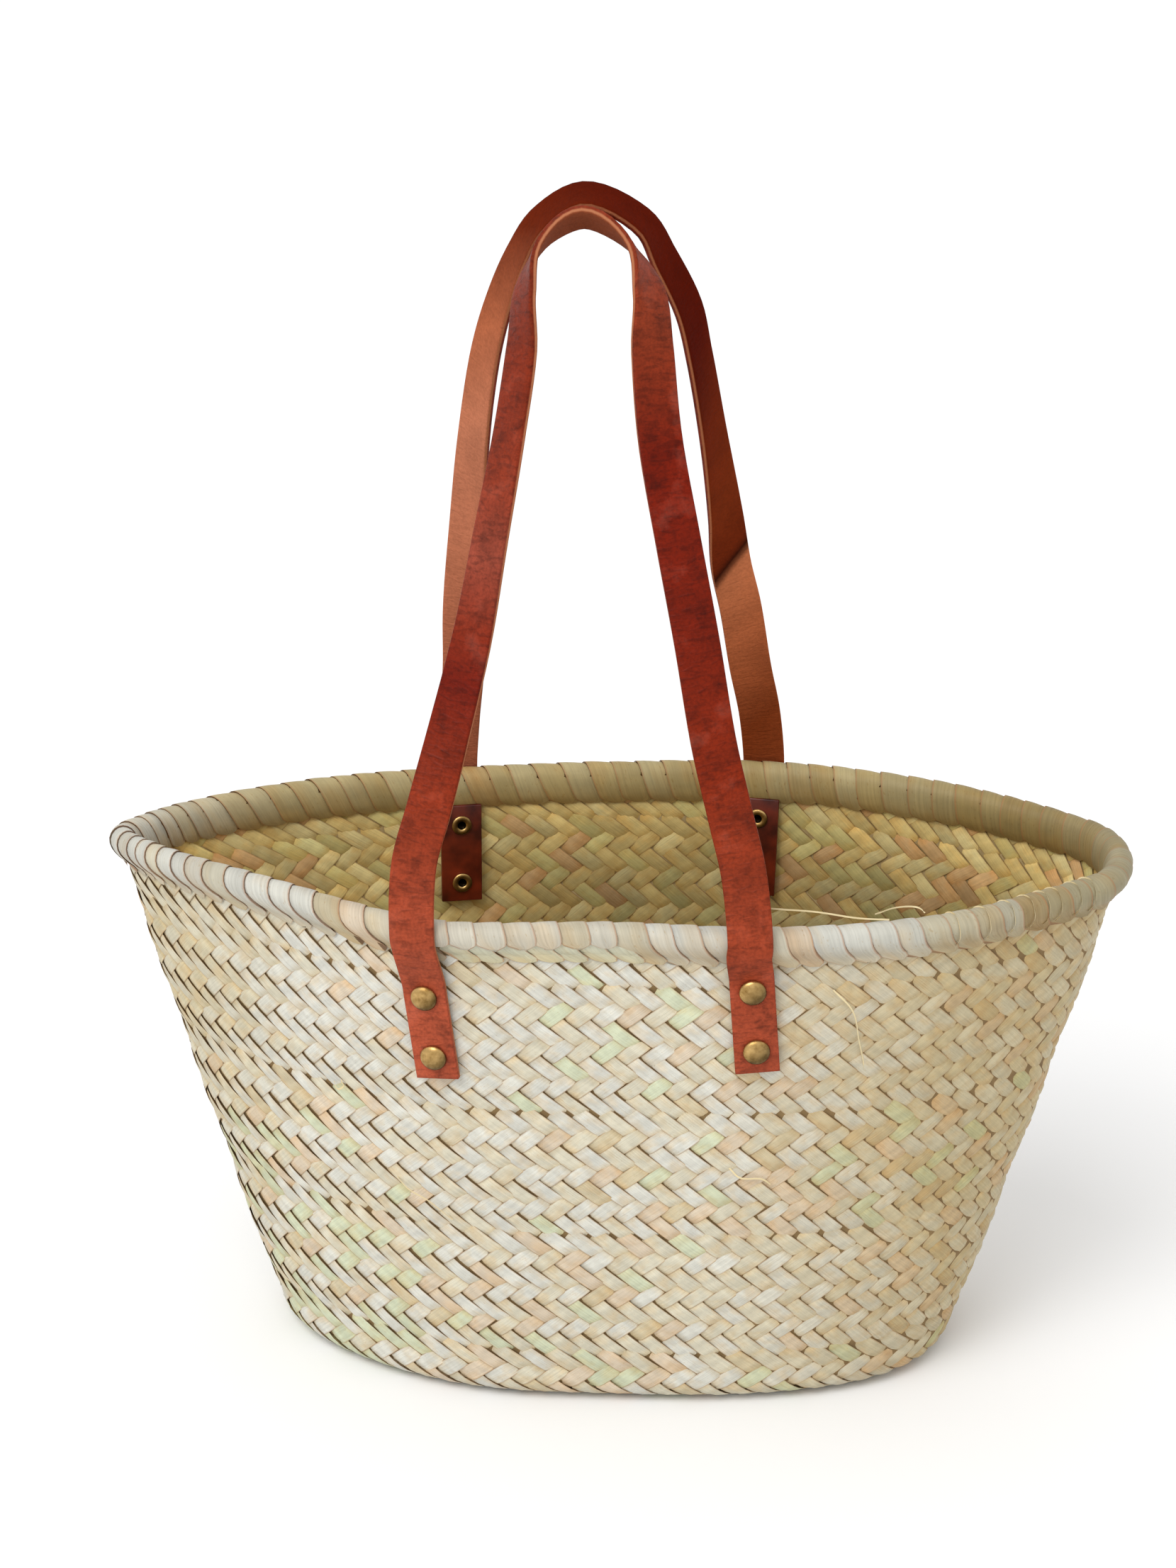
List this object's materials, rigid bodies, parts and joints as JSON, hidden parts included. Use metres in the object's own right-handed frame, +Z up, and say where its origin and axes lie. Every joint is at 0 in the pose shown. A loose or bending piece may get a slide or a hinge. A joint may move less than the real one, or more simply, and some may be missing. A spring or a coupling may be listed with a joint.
{
  "type": "straw basket bag",
  "caption": "Plaited palm-leaf basket bag: boat-shaped open top, oval base, wound rim, long leather shoulder straps riveted through the wall.",
  "frame": {"origin": "on the ground under the middle of the bag", "axes": "+Z up, +X to the right seen from the front, -Y towards the front"},
  "size_m": [0.4298, 0.1977, 0.5024],
  "materials": {
    "straw": "plaited dried palm leaf, ivory with tan, pale green and peach strands",
    "rim_leaf": "wound palm-leaf strips",
    "strap_leather": "reddish-brown vegetable-tanned leather, mottled grain side, matte flesh side",
    "tab_leather": "dark glossy red-brown leather",
    "antique_brass": "antique brass, worn and slightly dull"
  },
  "bodies": {
    "root": {"basket_body": "straw", "rim_binding": "rim_leaf", "strap_front": "strap_leather", "strap_rear": "strap_leather", "tab_front_left": "tab_leather", "tab_front_right": "tab_leather", "tab_rear_left": "tab_leather", "tab_rear_right": "tab_leather", "rivet_front_left_upper": "antique_brass", "rivet_front_left_lower": "antique_brass", "rivet_front_right_upper": "antique_brass", "rivet_front_right_lower": "antique_brass", "rivet_rear_left_upper": "antique_brass", "rivet_rear_left_lower": "antique_brass", "rivet_rear_right_upper": "antique_brass", "rivet_rear_right_lower": "antique_brass"}
  },
  "joints": []
}
